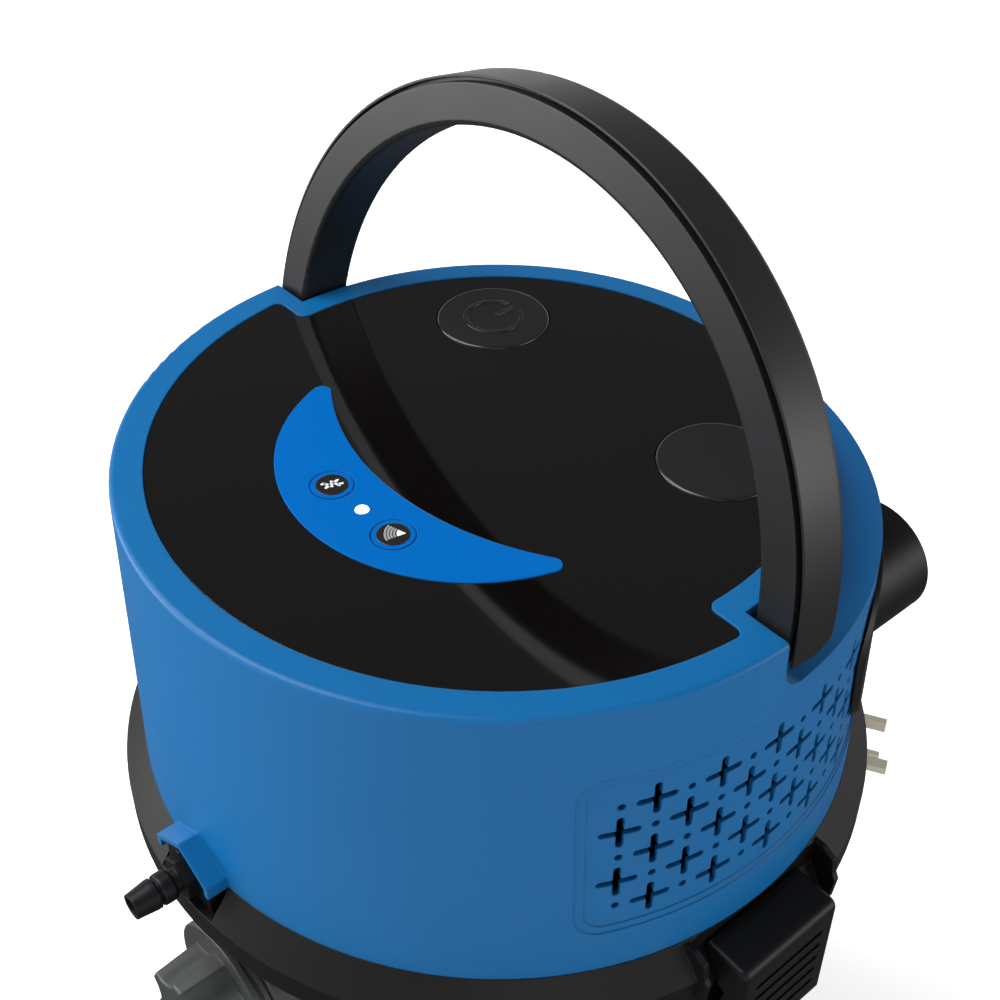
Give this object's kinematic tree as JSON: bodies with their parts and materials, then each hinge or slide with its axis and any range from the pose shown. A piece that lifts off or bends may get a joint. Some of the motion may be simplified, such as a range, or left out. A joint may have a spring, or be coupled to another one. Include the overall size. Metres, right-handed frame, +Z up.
{
  "type": "shop vacuum",
  "caption": "Round wet and dry vacuum head with a folding half-ring handle on a capped tank, held by side latches, on swivel castors.",
  "frame": {"origin": "on the floor under the head's axis", "axes": "+Z up, the inlet and the control crescent face -Y, +X to the right of the handle seen from the front"},
  "size_m": [0.436, 0.436, 0.7019],
  "materials": {
    "head_blue": "satin blue ABS",
    "collar_black": "fine grained black",
    "panel_black": "high gloss black",
    "crescent_blue": "satin bright blue",
    "key_blue": "satin blue ring",
    "lamp_white": "clear milky lens",
    "button_black": "satin black",
    "steel": "zinc plated",
    "inner_black": "plain moulded black",
    "board_green": "solder mask",
    "handle_grey": "satin dark grey",
    "copper_iron": "laminated iron with copper winding",
    "alu": "turned",
    "foam_grey": "open cell foam",
    "rubber_black": "matt rubber",
    "white_plastic": "natural",
    "filter_paper": "pleated paper",
    "tank_black": "fine grained black polypropylene",
    "port_grey": "satin dark grey",
    "cord_black": "smooth sheath",
    "brass_pins": "bright",
    "fork_black": "moulded black",
    "wheel_grey": "soft grey tread"
  },
  "bodies": {
    "tank": {"tank_shell": "tank_black", "latch_pins": "steel", "inlet_port": "port_grey", "inlet_seal": "rubber_black", "castor_base": "tank_black"},
    "head": {"head_shell": "head_blue", "head_collar": "collar_black", "top_panel": "panel_black", "crescent_panel": "crescent_blue", "status_led": "lamp_white", "power_spring": "steel", "clean_spring": "steel", "power_switch": "inner_black", "clean_switch": "inner_black", "circuit_board": "board_green", "outlet_stub": "collar_black", "outlet_flange": "collar_black", "hose_tail": "collar_black", "motor_plate": "inner_black", "motor_housing": "inner_black", "bearings": "steel", "stator": "copper_iron", "exhaust_foam": "foam_grey", "head_screws": "steel", "head_gasket": "rubber_black", "float_cage": "inner_black", "filter_cartridge": "filter_paper", "filter_nut": "inner_black", "cord_gland": "collar_black", "cord_relief": "rubber_black", "cord_hook": "inner_black", "cord_coil": "cord_black", "cord_lead": "cord_black", "cord_tail": "cord_black", "plug_body": "cord_black", "plug_pins": "brass_pins", "plug_clip": "inner_black"},
    "handle": {"handle": "handle_grey", "handle_pins": "steel"},
    "mode_key_left": {"mode_key_left": "key_blue"},
    "mode_key_right": {"mode_key_right": "key_blue"},
    "power_button": {"power_button": "button_black"},
    "filter_clean_button": {"filter_clean_button": "button_black"},
    "rotor": {"rotor": "copper_iron", "impeller": "alu"},
    "float_ball": {"float_ball": "white_plastic"},
    "inlet_cap": {"inlet_cap": "port_grey"},
    "latch_right": {"latch_right": "collar_black"},
    "latch_left": {"latch_left": "collar_black"},
    "castor_fork_right": {"castor_fork_right": "fork_black"},
    "castor_wheel_right": {"castor_wheel_right": "wheel_grey"},
    "castor_fork_rear": {"castor_fork_rear": "fork_black"},
    "castor_wheel_rear": {"castor_wheel_rear": "wheel_grey"},
    "castor_fork_left": {"castor_fork_left": "fork_black"},
    "castor_wheel_left": {"castor_wheel_left": "wheel_grey"},
    "castor_fork_front": {"castor_fork_front": "fork_black"},
    "castor_wheel_front": {"castor_wheel_front": "wheel_grey"}
  },
  "joints": [
    {"name": "head_lift", "type": "slide", "parent": "tank", "child": "head", "axis": [0, 0, 1], "range_m": [0, 0.15]},
    {"name": "latch_right_turn", "type": "hinge", "parent": "tank", "child": "latch_right", "pos_m": [0.19, 0, 0.315], "axis": [0, 1, 0], "range_deg": [0, 122]},
    {"name": "latch_left_turn", "type": "hinge", "parent": "tank", "child": "latch_left", "pos_m": [-0.19, 0, 0.315], "axis": [0, -1, 0], "range_deg": [0, 122]},
    {"name": "handle_fold", "type": "hinge", "parent": "head", "child": "handle", "pos_m": [0, 0.0094, 0.535], "axis": [-1, 0, 0], "range_deg": [0, 81]},
    {"name": "power_press", "type": "slide", "parent": "head", "child": "power_button", "axis": [0, 0, -1], "range_m": [0, 0.0025], "stiffness_N_per_m": 1500, "springref_m": -0.002, "deforming": ["power_spring"]},
    {"name": "filter_clean_press", "type": "slide", "parent": "head", "child": "filter_clean_button", "axis": [0, 0, -1], "range_m": [0, 0.0025], "stiffness_N_per_m": 1500, "springref_m": -0.002, "deforming": ["clean_spring"]},
    {"name": "mode_left_press", "type": "slide", "parent": "head", "child": "mode_key_left", "axis": [0, 0, -1], "range_m": [0, 0.001], "stiffness_N_per_m": 1200, "springref_m": -0.001},
    {"name": "mode_right_press", "type": "slide", "parent": "head", "child": "mode_key_right", "axis": [0, 0, -1], "range_m": [0, 0.001], "stiffness_N_per_m": 1200, "springref_m": -0.001},
    {"name": "rotor_spin", "type": "hinge", "parent": "head", "child": "rotor", "pos_m": [0, 0, 0.43], "axis": [0, 0, 1], "continuous": true},
    {"name": "float_rise", "type": "slide", "parent": "head", "child": "float_ball", "axis": [0, 0, 1], "range_m": [0, 0.034]},
    {"name": "inlet_cap_turn", "type": "hinge", "parent": "tank", "child": "inlet_cap", "pos_m": [0, -0.19, 0.283], "axis": [0, -1, 0], "range_deg": [-60, 0]},
    {"name": "swivel_right", "type": "hinge", "parent": "tank", "child": "castor_fork_right", "pos_m": [0.183, 0, 0.06], "axis": [0, 0, 1], "continuous": true},
    {"name": "roll_right", "type": "hinge", "parent": "castor_fork_right", "child": "castor_wheel_right", "pos_m": [0.167, 0, 0.024], "axis": [0, 1, 0], "continuous": true},
    {"name": "swivel_rear", "type": "hinge", "parent": "tank", "child": "castor_fork_rear", "pos_m": [0, 0.183, 0.06], "axis": [0, 0, 1], "continuous": true},
    {"name": "roll_rear", "type": "hinge", "parent": "castor_fork_rear", "child": "castor_wheel_rear", "pos_m": [0, 0.167, 0.024], "axis": [-1, 0, 0], "continuous": true},
    {"name": "swivel_left", "type": "hinge", "parent": "tank", "child": "castor_fork_left", "pos_m": [-0.183, 0, 0.06], "axis": [0, 0, 1], "continuous": true},
    {"name": "roll_left", "type": "hinge", "parent": "castor_fork_left", "child": "castor_wheel_left", "pos_m": [-0.167, 0, 0.024], "axis": [0, -1, 0], "continuous": true},
    {"name": "swivel_front", "type": "hinge", "parent": "tank", "child": "castor_fork_front", "pos_m": [0, -0.183, 0.06], "axis": [0, 0, 1], "continuous": true},
    {"name": "roll_front", "type": "hinge", "parent": "castor_fork_front", "child": "castor_wheel_front", "pos_m": [0, -0.167, 0.024], "axis": [1, 0, 0], "continuous": true}
  ],
  "couplings": [
    {"joint": "latch_right_turn", "follows": "head_lift", "rad_per_m": 14},
    {"joint": "latch_left_turn", "follows": "head_lift", "rad_per_m": 14}
  ]
}
